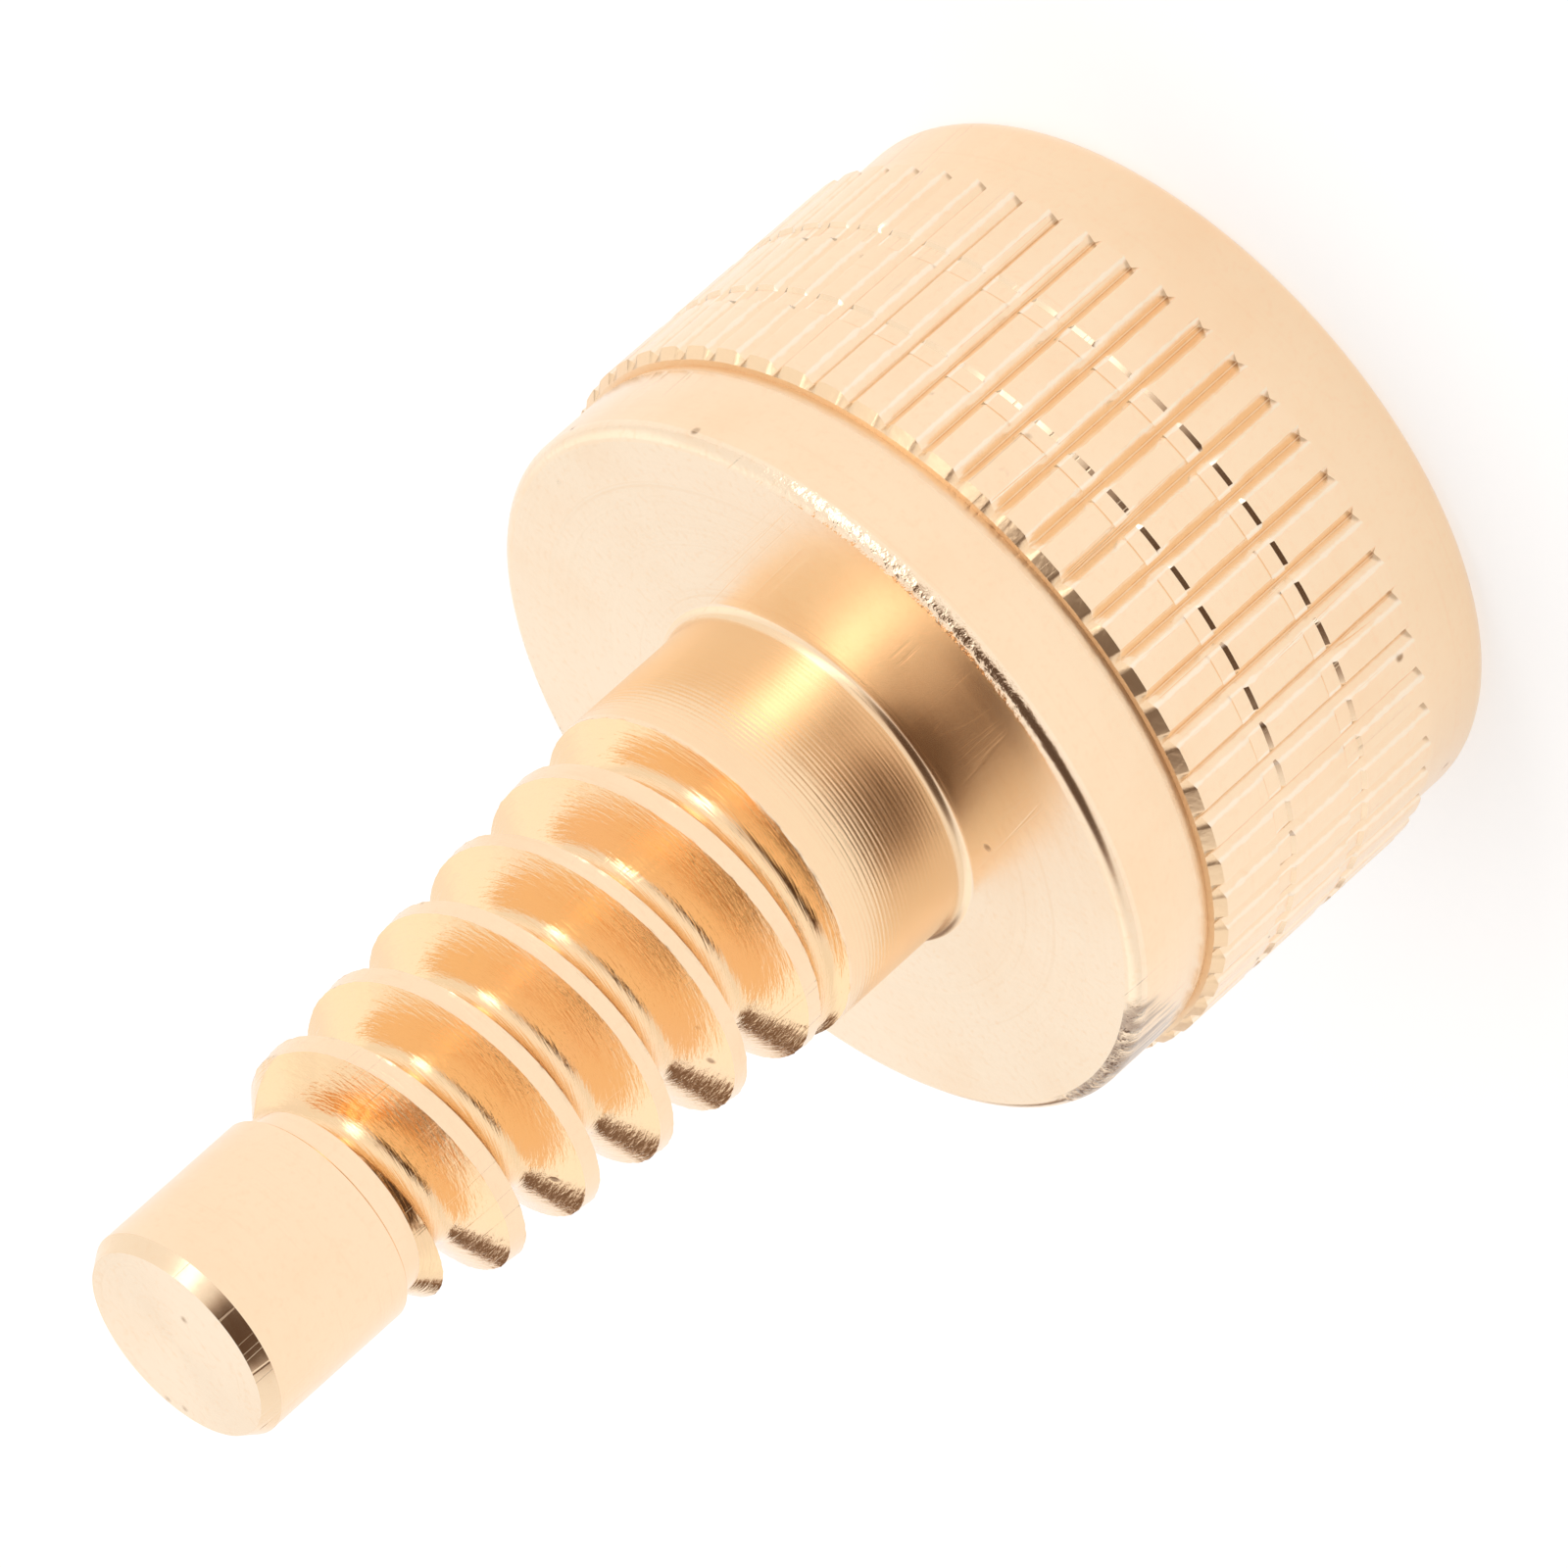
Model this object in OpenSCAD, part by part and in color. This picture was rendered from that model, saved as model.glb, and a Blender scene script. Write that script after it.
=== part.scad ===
// Cue joint screw: one turned piece with a pilot, a tapered coarse
// thread, a plain neck and a knurled head.
// Millimetres. It stands on the head, the axis is Z, the pilot is on top.

/* [Head] */
// Diameter over the knurled ribs
knurl_d = 22.2; // [20:0.1:26]
// Height of the whole head, bearing end to shoulder face
head_h = 13.85; // [12.5:0.05:18]
// Diameter of the smooth flange under the shoulder face
flange_d = 21.5; // [18:0.1:21.8]
// Height of the flange, shoulder face to ribs
flange_h = 2.85; // [1.5:0.05:3.5]
// Edge break around the shoulder face
flange_edge = 0.4; // [0.1:0.05:0.8]
// Height of the shallow bevel on the flange's lower edge
flange_bevel_h = 0.35; // [0.1:0.05:0.6]
// Inset of that bevel
flange_bevel = 0.1; // [0.05:0.05:0.3]
// Diameter of the smooth band at the bearing end
band_d = 21.5; // [18:0.1:21.8]
// Height at which the ribs stop above the bearing end
band_h = 2.85; // [1.5:0.05:4]
// Rounding of the edge at the bearing end
base_edge = 0.75; // [0.1:0.05:1]

/* [Knurl] */
// Number of V grooves round the head
knurl_count = 56; // [24:1:60]
// Depth of the V grooves
knurl_depth = 0.28; // [0.2:0.01:0.34]
// Included angle of the V grooves
knurl_angle = 90; // [70:1:100]
// Turn of the first V groove from the X axis
knurl_turn = 3.6; // [0:0.1:15]
// Inset of the bevel at the top of the ribs, under the flange
rib_bevel = 0.25; // [0.1:0.05:0.4]
// Height of that bevel
rib_bevel_h = 0.25; // [0.1:0.05:0.4]
// Width of the two shallow ring grooves at the ribs' surface
ring_w = 0.65; // [0.4:0.05:1]
// Depth of the ring grooves, whose sides lean at 45 degrees
ring_depth = 0.1; // [0.05:0.01:0.15]
// Height of the lower edge of the lower ring groove
ring_z = 5.35; // [4.8:0.05:5.6]
// Spacing of the two ring grooves
ring_step = 2.75; // [2:0.05:3]

/* [Neck] */
// Diameter of the plain neck
neck_d = 10; // [9:0.1:12]
// Fillet between neck and shoulder face
neck_fillet = 0.35; // [0.1:0.05:0.6]
// Height above the shoulder face where the taper begins
neck_h = 4.25; // [4:0.05:6]

/* [Thread] */
// Pitch of the thread
pitch = 2.5; // [2.4:0.05:2.8]
// Included angle of the thread flanks
thread_angle = 51; // [46:1:54]
// Loss of crest radius for each millimetre of height
crest_taper = 0.095; // [0.07:0.005:0.1]
// Loss of root radius for each millimetre of height
root_taper = 0.08; // [0.06:0.005:0.085]
// Depth of the thread where the taper begins
thread_depth = 1.6; // [1.3:0.05:1.7]
// Narrow flat in the middle of the thread's round root
root_flat = 0.04; // [0.02:0.01:0.1]
// Radius of the round root
root_round = 0.45; // [0.3:0.01:0.5]
// Height of the taper, from its start to the relief below the pilot
taper_h = 13.65; // [13:0.05:16]

/* [Pilot] */
// Diameter of the smooth pilot
pilot_d = 6.25; // [5.9:0.05:7]
// Length of the pilot
pilot_h = 5.05; // [3:0.05:8]
// Height of the bevel on the pilot's end
pilot_bevel_h = 0.43; // [0.1:0.01:0.8]
// Inset of that bevel
pilot_bevel = 0.29; // [0.1:0.01:0.6]
// Diameter of the relief below the pilot
tip_relief_d = 5.6; // [5:0.05:5.8]
// Height of that relief
tip_relief_h = 0.75; // [0.7:0.05:1.2]

/* [Hidden] */
brass = [0.86, 0.68, 0.38];
over = 1;
over_cut = 0.2;
neck_r = neck_d / 2;
knurl_r = knurl_d / 2;
flange_r = flange_d / 2;
band_r = band_d / 2;
pilot_r = pilot_d / 2;
tip_relief_r = tip_relief_d / 2;
// Levels, from the bearing end up
ribs_top = head_h - flange_h;
taper_z = head_h + neck_h;
relief_z = taper_z + taper_h;
pilot_z = relief_z + tip_relief_h;
top_z = pilot_z + pilot_h;
// Lead-in cone at 45 degrees, up to where it meets the thread's taper
lead_run = (neck_r - crest_taper * taper_h - tip_relief_r) / (1 - crest_taper);
// Half angle of the V grooves and of the thread flanks
v_half = knurl_depth * tan(knurl_angle / 2);
flank = thread_angle / 2;
// The thread groove is swept downwards: its turns are counted from
// the front, positive below the first one, negative above it
sides = 40;
arc_steps = 3;
run_in = 0.5;
run_in_len = 0.35;
run_out = 4.6;
run_out_len = 0.8;
last_turn = run_out + run_out_len;
steps = ceil((run_in + last_turn) * sides);
first_z = relief_z - 0.62;

function crest_r(z) = neck_r - crest_taper * (z - taper_z);
function root_r(z) = neck_r - thread_depth - root_taper * (z - taper_z);
function turn_at(i) = -run_in + i * (run_in + last_turn) / steps;
function out_part(t) = max(0, (t - run_out) / run_out_len);
function in_part(t) = max(0, (run_in_len - run_in - t) / run_in_len);
function groove_z(t) =
    first_z - pitch * (t - run_out_len * pow(out_part(t), 2) / 2);
function groove_out(t) = crest_r(groove_z(t)) + over_cut;
function groove_in(t) =
    let (z = groove_z(t), full = root_r(z), clear = crest_r(z) + over_cut / 4)
    full + (clear - full) * min(1, out_part(t) + in_part(t));
// Half of the groove's outline: height from its centre, radius above its root
function arc_point(a) =
    [root_flat / 2 + root_round * sin(a), root_round * (1 - cos(a))];
function half_width(h) =
    let (p = arc_point(90 - flank))
    p[0] + (h - p[1]) * tan(flank);
function half_ring(r0, h1) = [
    [r0 + h1, half_width(h1)],
    for (k = [arc_steps : -1 : 0])
    let (p = arc_point((90 - flank) * k / arc_steps)) [r0 + p[1], p[0]]
];
function groove_ring(t) =
    let (
        r0 = groove_in(t),
        h1 = max(groove_out(t) - r0, arc_point(90 - flank)[1] + 0.01),
        half = half_ring(r0, h1), last = len(half) - 1
    )
    [each half, for (k = [last : -1 : 0]) [half[k][0], -half[k][1]]];
function ring_points(i) =
    let (t = turn_at(i), a = -90 - 360 * t, z = groove_z(t))
    [for (p = groove_ring(t)) [p[0] * cos(a), p[0] * sin(a), z + p[1]]];

joint_screw();

module joint_screw() {
    color(brass)
    difference() {
        turned_body();
        knurl_grooves();
        thread_groove();
    }
}

// The whole lathe-turned body, without knurl and thread
module turned_body() {
    rotate_extrude($fn = 120)
    union() {
        head_section();
        shank_section();
    }
}

module head_section() {
    difference() {
        union() {
            square([band_r, band_h + over_cut]);
            ribs_section();
            square([knurl_r / 2, head_h - over / 2]);
            flange_section();
        }
        lower_round(band_r, 0, base_edge);
        for (k = [0, 1])
            translate([knurl_r, ring_z + k * ring_step])
            ring_section();
    }
}

// Ribbed band: a square step at the bottom, a bevel at the top
module ribs_section() {
    polygon([
        [0, band_h], [knurl_r, band_h], [knurl_r, ribs_top - rib_bevel_h],
        [knurl_r - rib_bevel, ribs_top], [0, ribs_top]
    ]);
}

// Ring groove, from its lower edge at the ribs' surface
module ring_section() {
    polygon([
        [over_cut, -over_cut], [-ring_depth, ring_depth],
        [-ring_depth, ring_w - ring_depth], [over_cut, ring_w + over_cut]
    ]);
}

module flange_section() {
    low = ribs_top;
    difference() {
        polygon([
            [0, low], [flange_r - flange_bevel, low],
            [flange_r, low + flange_bevel_h], [flange_r, head_h], [0, head_h]
        ]);
        upper_round(flange_r, head_h, flange_edge);
    }
}

module shank_section() {
    lead_z = relief_z - lead_run;
    lead_r = tip_relief_r + lead_run;
    difference() {
        translate([0, head_h - over])
        square([neck_r + neck_fillet, neck_fillet + over]);
        translate([neck_r + neck_fillet, head_h + neck_fillet])
        circle(r = neck_fillet, $fn = 60);
    }
    polygon([
        [0, head_h - over], [neck_r, head_h - over], [neck_r, taper_z],
        [lead_r, lead_z], [tip_relief_r, relief_z], [tip_relief_r, pilot_z],
        [pilot_r, pilot_z], [pilot_r, top_z - pilot_bevel_h],
        [pilot_r - pilot_bevel, top_z], [0, top_z]
    ]);
}

// What a round edge takes away at radius r and level z
module upper_round(r, z, e) {
    difference() {
        translate([r - e, z - e])
        square([e + over, e + over]);
        translate([r - e, z - e])
        circle(r = e, $fn = 60);
    }
}

module lower_round(r, z, e) {
    difference() {
        translate([r - e, z - over])
        square([e + over, e + over]);
        translate([r - e, z + e])
        circle(r = e, $fn = 60);
    }
}

// Straight V grooves, open at the step down to the band and at the
// bevel under the flange
module knurl_grooves() {
    wide = (knurl_depth + over_cut) / knurl_depth;
    translate([0, 0, band_h - over_cut])
    linear_extrude(ribs_top - band_h + 1.25 * over_cut)
    for (i = [0 : knurl_count - 1])
        rotate(knurl_turn + i * 360 / knurl_count)
        translate([knurl_r - knurl_depth, 0])
        polygon([
            [0, 0], [knurl_depth * wide, -v_half * wide],
            [knurl_depth * wide, v_half * wide]
        ]);
}

// Single right-hand groove that leaves the tapered thread standing
module thread_groove() {
    n = 2 * arc_steps + 4;
    points = [for (i = [0 : steps]) each ring_points(i)];
    walls = [
        for (i = [0 : steps - 1]) for (j = [0 : n - 1])
        let (k = (j + 1) % n, a = i * n, b = a + n)
        each [[a + j, b + k, a + k], [a + j, b + j, b + k]]
    ];
    first = [for (j = [0 : n - 1]) j];
    last = [for (j = [0 : n - 1]) steps * n + n - 1 - j];
    polyhedron(points, concat([first], walls, [last]));
}
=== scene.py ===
import math
import bmesh
import bpy
from mathutils import Matrix, Vector


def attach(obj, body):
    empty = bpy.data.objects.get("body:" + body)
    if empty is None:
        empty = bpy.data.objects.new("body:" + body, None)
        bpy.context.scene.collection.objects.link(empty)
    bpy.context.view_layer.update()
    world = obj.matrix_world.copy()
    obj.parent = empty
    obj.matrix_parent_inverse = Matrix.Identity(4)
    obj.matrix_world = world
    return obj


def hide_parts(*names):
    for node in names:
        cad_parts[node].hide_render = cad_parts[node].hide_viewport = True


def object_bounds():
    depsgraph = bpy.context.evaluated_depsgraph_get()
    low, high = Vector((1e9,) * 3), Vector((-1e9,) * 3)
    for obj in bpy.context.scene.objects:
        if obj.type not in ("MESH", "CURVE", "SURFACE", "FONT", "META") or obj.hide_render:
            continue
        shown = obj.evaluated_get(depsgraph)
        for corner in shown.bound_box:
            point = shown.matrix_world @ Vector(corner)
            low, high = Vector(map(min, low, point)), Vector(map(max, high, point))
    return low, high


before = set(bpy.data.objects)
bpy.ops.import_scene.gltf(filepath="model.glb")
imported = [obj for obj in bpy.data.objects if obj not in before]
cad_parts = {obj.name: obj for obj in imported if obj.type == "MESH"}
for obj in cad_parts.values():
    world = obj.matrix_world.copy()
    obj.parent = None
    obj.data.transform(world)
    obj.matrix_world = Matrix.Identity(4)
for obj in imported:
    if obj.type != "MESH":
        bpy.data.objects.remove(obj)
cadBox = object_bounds()
print("frame loaded", cadBox)

mm = 0.001
weldGap = 0.001          # mm, points closer than this become one
leastEdge = 0.000001     # mm, a shorter edge is taken out
sharpAngle = 28.0        # degrees, an edge that turns by more than this is shaded sharp
centreSides = 24         # points in each ring near the middle of a flat end

# Sizes of the whole screw in millimetres, standing on its head
screw = {
    "knurlRadius": 11.1, "bandRadius": 10.75, "flangeRadius": 10.75, "baseEdge": 0.75,
    "ribsBottom": 2.85, "ribsTop": 11.0, "ribBevel": 0.25, "ribBevelHeight": 0.25,
    "flangeBevel": 0.1, "flangeBevelHeight": 0.35, "flangeEdge": 0.4, "headHeight": 13.85,
    "neckRadius": 5.0, "neckFillet": 0.35, "taperBottom": 18.1, "taperTop": 31.75,
    "tipReliefRadius": 2.8, "pilotBottom": 32.5, "pilotRadius": 3.125,
    "pilotBevel": 0.29, "pilotBevelHeight": 0.43, "top": cadBox[1][2] / mm,
}


class NodeValue:
    # a number flowing through a node tree, so that sizes can be written as sums
    def __init__(self, tree, socket):
        self.tree = tree
        self.socket = socket

    def make(self, operation, *others):
        return mathNode(self.tree, operation, self, *others)

    def __add__(self, other):
        return self.make("ADD", other)

    def __radd__(self, other):
        return self.make("ADD", other)

    def __sub__(self, other):
        return self.make("SUBTRACT", other)

    def __rsub__(self, other):
        return mathNode(self.tree, "SUBTRACT", other, self)

    def __mul__(self, other):
        return self.make("MULTIPLY", other)

    def __rmul__(self, other):
        return self.make("MULTIPLY", other)

    def __truediv__(self, other):
        return self.make("DIVIDE", other)

    def __rtruediv__(self, other):
        return mathNode(self.tree, "DIVIDE", other, self)

    def atLeast(self, other):
        return self.make("MAXIMUM", other)

    def atMost(self, other):
        return self.make("MINIMUM", other)

    def between(self, low, high):
        return self.atLeast(low).atMost(high)


def feed(tree, value, socket):
    if isinstance(value, NodeValue):
        tree.links.new(value.socket, socket)
    else:
        socket.default_value = value


def mathNode(tree, operation, *values):
    node = tree.nodes.new("ShaderNodeMath")
    node.operation = operation
    for value, socket in zip(values, node.inputs):
        feed(tree, value, socket)
    return NodeValue(tree, node.outputs[0])


def vectorNode(tree, x, y, z):
    node = tree.nodes.new("ShaderNodeCombineXYZ")
    for value, socket in zip((x, y, z), node.inputs):
        feed(tree, value, socket)
    return node.outputs[0]


def partsOf(tree, vectorSocket):
    node = tree.nodes.new("ShaderNodeSeparateXYZ")
    tree.links.new(vectorSocket, node.inputs[0])
    return [NodeValue(tree, out) for out in node.outputs]


def noiseNode(tree, vectorSocket, scale, detail=2.0, roughness=0.5):
    node = tree.nodes.new("ShaderNodeTexNoise")
    tree.links.new(vectorSocket, node.inputs["Vector"])
    feed(tree, scale, node.inputs["Scale"])
    node.inputs["Detail"].default_value = detail
    node.inputs["Roughness"].default_value = roughness
    return NodeValue(tree, node.outputs[0])


def arrange(tree, across=220, down=190, inColumn=8):
    # sets the nodes out in columns, so that the tree can be read
    for number, node in enumerate(tree.nodes):
        node.location = (across * (number // inColumn), -down * (number % inColumn))


def geometryTree(name, sizes):
    # an empty Geometry Nodes tree with one named input for each size
    tree = bpy.data.node_groups.new(name, "GeometryNodeTree")
    tree.interface.new_socket("Geometry", in_out="INPUT", socket_type="NodeSocketGeometry")
    tree.interface.new_socket("Geometry", in_out="OUTPUT", socket_type="NodeSocketGeometry")
    for label, size in sizes.items():
        kind = "NodeSocketInt" if isinstance(size, int) else "NodeSocketFloat"
        tree.interface.new_socket(label, in_out="INPUT", socket_type=kind).default_value = size
    start = tree.nodes.new("NodeGroupInput")
    values = {label: NodeValue(tree, start.outputs[label]) for label in sizes}
    return tree, start, values


def finishTree(tree, geometrySocket, material):
    realize = tree.nodes.new("GeometryNodeRealizeInstances")
    setMaterial = tree.nodes.new("GeometryNodeSetMaterial")
    setMaterial.inputs["Material"].default_value = material
    end = tree.nodes.new("NodeGroupOutput")
    tree.links.new(geometrySocket, realize.inputs[0])
    tree.links.new(realize.outputs[0], setMaterial.inputs["Geometry"])
    tree.links.new(setMaterial.outputs[0], end.inputs[0])
    arrange(tree)


def grown(name, tree, sizes, mesh=None):
    # runs the tree on a mesh, or on an empty one, and gives back a plain mesh
    source = bpy.data.objects.new(name, mesh or bpy.data.meshes.new(name))
    bpy.context.scene.collection.objects.link(source)
    modifier = source.modifiers.new(name, "NODES")
    modifier.node_group = tree
    for item in tree.interface.items_tree:
        if item.in_out == "INPUT" and item.name in sizes:
            modifier[item.identifier] = sizes[item.name]
    graph = bpy.context.evaluated_depsgraph_get()
    result = bpy.data.meshes.new_from_object(source.evaluated_get(graph))
    bpy.data.objects.remove(source)
    return result


class Turning:
    # rings of points round the Z axis and the faces between them, in metres
    def __init__(self):
        self.points = []
        self.faces = []
        self.ribbed = []

    def ring(self, radius, level, angles, ribbed=0.0):
        first = len(self.points)
        reach = radius * mm
        for angle in angles:
            self.points.append((reach * math.cos(angle), reach * math.sin(angle), level * mm))
            self.ribbed.append(ribbed)
        return list(range(first, len(self.points)))

    def wall(self, low, high):
        # four-sided faces between two rings with the same number of points
        count = len(low)
        for i in range(count):
            k = (i + 1) % count
            self.faces.append((low[i], low[k], high[k], high[i]))

    def stack(self, rows, angles):
        # one ring for each row of radius, level and, on the ribs, their mark
        rings = [self.ring(*row[:2], angles, *row[2:]) for row in rows]
        for low, high in zip(rings, rings[1:]):
            self.wall(low, high)
        return rings

    def stitch(self, low, lowAngles, high, highAngles):
        # triangles between two rings that don't have the same number of points
        i, k = 0, 0
        while i < len(low) or k < len(high):
            nextLow = lowAngles[i + 1] if i + 1 < len(low) else lowAngles[0] + 2 * math.pi
            nextHigh = highAngles[k + 1] if k + 1 < len(high) else highAngles[0] + 2 * math.pi
            a, b = low[i % len(low)], high[k % len(high)]
            if k >= len(high) or (i < len(low) and nextLow <= nextHigh):
                self.faces.append((a, low[(i + 1) % len(low)], b))
                i += 1
            else:
                self.faces.append((a, high[(k + 1) % len(high)], b))
                k += 1

    def pole(self, ring, level, upward):
        # closes a ring with triangles to a point on the axis
        centre = len(self.points)
        self.points.append((0.0, 0.0, level * mm))
        self.ribbed.append(0.0)
        for i in range(len(ring)):
            k = (i + 1) % len(ring)
            self.faces.append((centre, ring[i], ring[k]) if upward else (centre, ring[k], ring[i]))

    def mesh(self, name):
        made = bpy.data.meshes.new(name)
        made.from_pydata(self.points, [], self.faces)
        mark = made.attributes.new("ribbed", "FLOAT", "POINT")
        mark.data.foreach_set("value", self.ribbed)
        return made


def evenAngles(count):
    return [2 * math.pi * i / count for i in range(count)]


def arcRows(radius, level, size, start, end, steps):
    # points of a round edge about (radius, level), from one angle to the other
    rows = []
    for i in range(steps + 1):
        angle = math.radians(start + (end - start) * i / steps)
        rows.append((radius + size * math.cos(angle), level + size * math.sin(angle)))
    return rows


knurl = {
    "V Grooves": 56,
    "First V": 3.6,          # degrees from the X axis
    "Knurl Radius": screw["knurlRadius"],
    "V Depth": 0.28,
    "V Angle": 90.0,
    "V Root": 0.02,          # rounding left at the bottom of each V
    "Edge Wear": 0.012,      # how far the ribs' edges wander
    "Wear Gain": 4.0,        # brings the small swings of the noise up to that
    "Wear Grain": 9000.0,
    "Wear Start": 0.35,
    "Wear Width": 0.12,      # how far from its edge a rib is worn
}
ringGrooves = {"levels": (5.35, 8.1), "width": 0.65, "depth": 0.1}
headRings = {
    "vColumns": (0.08, 0.54, 1.0, 1.1, 1.6),  # columns beside each V, in parts of its half width
    "landRows": 7,           # rows of points along each row of lands
    "baseSteps": 8,
    "rimSteps": 6,
    "bandLevel": 1.6,        # levels of the spare rings on the band and the flange
    "flangeLevel": 12.4,
    "shoulder": (9.0, 7.0),  # radii of the rings on the shoulder face
    "bearing": (8.5, 2.5),   # radii of those on the bearing end
}


def vEdgeAngle():
    # half the angle that one V takes at the outer surface
    slope = math.tan(math.radians(knurl["V Angle"] / 2))
    bottom = knurl["Knurl Radius"] - knurl["V Depth"]
    angle = 0.0
    for _ in range(8):       # comes close after a few rounds
        angle = math.asin(slope * (math.cos(angle) - bottom / knurl["Knurl Radius"]))
    return angle


def headAngles():
    # every V gets the same few columns of points, with one on each of its edges
    step = 2 * math.pi / knurl["V Grooves"]
    edge = vEdgeAngle()
    offsets = [part * edge for part in headRings["vColumns"]]
    inStep = sorted([-a for a in offsets] + [0.0] + offsets + [step / 2])
    first = math.radians(knurl["First V"])
    return [first + number * step + a for number in range(knurl["V Grooves"]) for a in inStep]


def landLevels(low, high):
    steps = headRings["landRows"] - 1
    return [low + (high - low) * i / steps for i in range(steps + 1)]


def headRows():
    # radius and level of each ring, from the bearing end up to the shoulder face
    outer, band, deep = screw["knurlRadius"], screw["bandRadius"], ringGrooves["depth"]
    base, rim, top = screw["baseEdge"], screw["flangeEdge"], screw["headHeight"]
    low = screw["ribsBottom"]
    rows = [(headRings["bearing"][0], 0.0)]
    rows += arcRows(band - base, base, base, -90, 0, headRings["baseSteps"])
    rows += [(band, headRings["bandLevel"]), (band, low)]
    for level in ringGrooves["levels"]:
        high = level + ringGrooves["width"]
        rows += [(outer, z, 1.0) for z in landLevels(low, level)]
        rows += [(outer - deep, level + deep, 1.0), (outer - deep, high - deep, 1.0)]
        low = high
    rows += [(outer, z, 1.0) for z in landLevels(low, screw["ribsTop"] - screw["ribBevelHeight"])]
    flange, bottom = screw["flangeRadius"], screw["ribsTop"]
    rows += [(outer - screw["ribBevel"], bottom, 1.0), (flange - screw["flangeBevel"], bottom)]
    rows += [(flange, bottom + screw["flangeBevelHeight"]), (flange, headRings["flangeLevel"])]
    rows += arcRows(flange - rim, top - rim, rim, 0, 90, headRings["rimSteps"])
    return rows + [(radius, top) for radius in headRings["shoulder"]]


def knurlTree(material):
    # cuts the V grooves into the rings that are marked as ribbed, and wears the ribs' edges
    tree, start, size = geometryTree("knurlCut", knurl)
    position = tree.nodes.new("GeometryNodeInputPosition")
    x, y, z = partsOf(tree, position.outputs[0])
    ribbed = tree.nodes.new("GeometryNodeInputNamedAttribute")
    ribbed.data_type = "FLOAT"
    ribbed.inputs["Name"].default_value = "ribbed"
    markSocket = next(out for out in ribbed.outputs if out.name == "Attribute" and out.enabled)
    mark = NodeValue(tree, markSocket)
    radius = (x * x + y * y).make("SQRT") / mm
    angle = y.make("ARCTAN2", x)
    step = 2 * math.pi / size["V Grooves"]
    first = size["First V"] * (math.pi / 180)
    fromV = ((angle - first) / step + 0.5).make("FLOORED_MODULO", 1.0) * step - step / 2
    slope = (size["V Angle"] * (math.pi / 360)).make("TANGENT")
    bottom = size["Knurl Radius"] - size["V Depth"]
    side = fromV.make("COSINE") * slope - fromV.make("ABSOLUTE").make("SINE")
    groove = (bottom * slope / side.atLeast(0.01)).atLeast(bottom + size["V Root"])
    wander = noiseNode(tree, position.outputs[0], size["Wear Grain"]) - size["Wear Start"]
    nearEdge = 1 - ((groove - size["Knurl Radius"]) / size["Wear Width"]).make("ABSOLUTE").atMost(1.0)
    worn = radius - (wander * nearEdge * size["Edge Wear"] * size["Wear Gain"]).atLeast(0.0)
    cut = worn.atMost(groove)
    share = (radius + mark * (cut - radius)) / radius
    place = tree.nodes.new("GeometryNodeSetPosition")
    tree.links.new(start.outputs["Geometry"], place.inputs["Geometry"])
    tree.links.new(vectorNode(tree, x * share, y * share, z), place.inputs["Position"])
    finishTree(tree, place.outputs[0], material)
    return tree


def makeHead(material, shankAngles):
    turning = Turning()
    angles = headAngles()
    sparse = evenAngles(centreSides)
    rings = turning.stack(headRows(), angles)
    middle = turning.ring(headRings["bearing"][1], 0.0, sparse)
    turning.pole(middle, 0.0, False)
    shift = min(range(centreSides), key=lambda i: abs(sparse[i] - angles[0]))
    turning.stitch(middle[shift:] + middle[:shift], turned(sparse, shift), rings[0], angles)
    inner = turning.ring(screw["neckRadius"] + screw["neckFillet"], screw["headHeight"], shankAngles)
    nearest = min(range(len(shankAngles)), key=lambda i: abs(shankAngles[i] - angles[0]))
    turning.stitch(rings[-1], angles, inner[nearest:] + inner[:nearest], turned(shankAngles, nearest))
    return grown("knurlCut", knurlTree(material), knurl, turning.mesh("headBlank"))


def turned(angles, shift):
    # the same angles, begun further round
    return angles[shift:] + [a + 2 * math.pi for a in angles[:shift]]


thread = {
    "Turns": 7,              # turns of the strip, which is trimmed at both ends
    "Points Each Turn": 280,
    "First Turn": -0.8,
    "Pitch": 2.5,
    "Flank Angle": 51.0,
    "Thread Depth": 1.6,
    "Crest Taper": 0.095,    # loss of radius for each millimetre of height
    "Root Taper": 0.08,
    "Root Flat": 0.04,
    "Root Round": 0.45,
    "First Groove": 31.13,   # level of the first groove's centre at the front
    "Run In": 0.5,
    "Run In Length": 0.35,
    "Run Out": 4.6,
    "Run Out Length": 0.8,
    "Neck Radius": screw["neckRadius"],
    "Taper Bottom": screw["taperBottom"],
    "Taper Top": screw["taperTop"],
    "Tip Relief Radius": screw["tipReliefRadius"],
    "Edge Row": 0.05,        # width of the narrow strip along each crest edge
    "Clearance": 0.05,       # how far outside the crest the groove starts and ends
    "Least Reach": 0.03,     # the groove's edges never come nearer to its centre
    "Corner Share": 0.6,     # most of that reach which the root's corner takes
    "Flat Share": 0.3,
    "Burr": 0.018,           # how far the crest edges are rolled up
    "Burr Gain": 5.0,        # brings the small swings of the noise up to that
    "Burr Grain": 2.2,
    "Burr Start": 0.42,
    "Burr Dip": -0.15,
    "Burr Ring": 5.0,        # radius of the ring along which the noise is read
}
# Rows of points in each part of one turn: crest, edge, flank, root corner, root flat
threadRows = {"crest": 3, "edge": 1, "flank": 5, "corner": 5, "flat": 1}


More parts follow.
